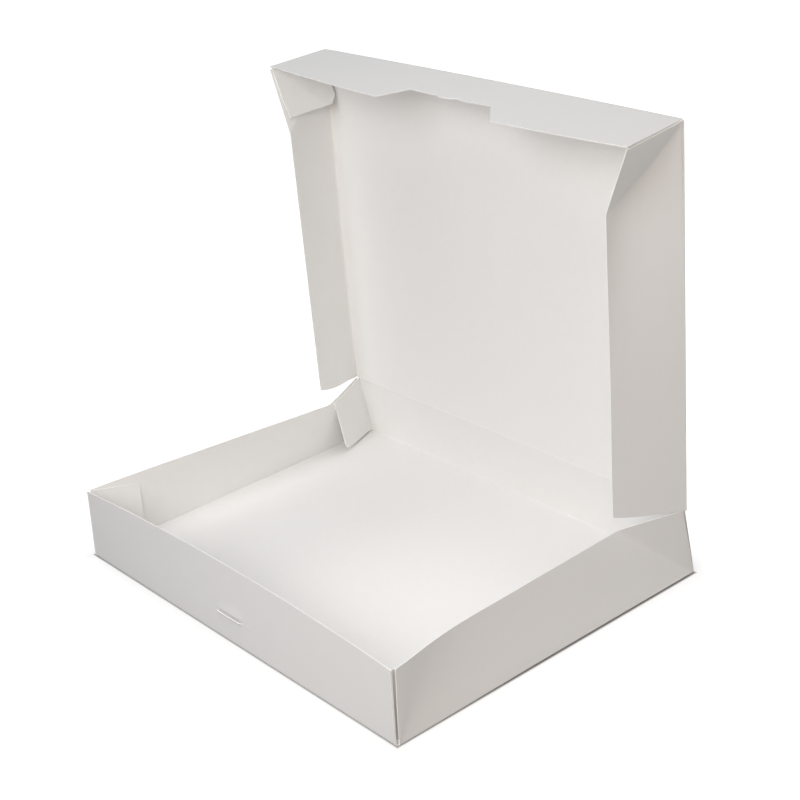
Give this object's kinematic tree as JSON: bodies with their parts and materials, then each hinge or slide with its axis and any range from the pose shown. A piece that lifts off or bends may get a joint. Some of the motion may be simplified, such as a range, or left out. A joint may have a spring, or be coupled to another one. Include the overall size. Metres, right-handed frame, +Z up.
{
  "type": "donut box",
  "caption": "White paperboard donut box: shallow tray with gusseted, glued corners and a flanged lid on a rear crease, locked by a tongue and slit.",
  "frame": {"origin": "centre of the tray's underside, on the table", "axes": "+X to the right seen from the front, +Y from the front wall to the hinge, +Z up"},
  "size_m": [0.3844, 0.292, 0.3511],
  "materials": {
    "board": "smooth matt white paperboard"
  },
  "bodies": {
    "tray": {"tray": "board"},
    "lid": {"lid": "board"}
  },
  "joints": [
    {"name": "lid_hinge", "type": "hinge", "parent": "tray", "child": "lid", "pos_m": [0, 0.13693, 0.05766], "axis": [-1, 0, 0], "range_deg": [-90.8, 90]}
  ]
}
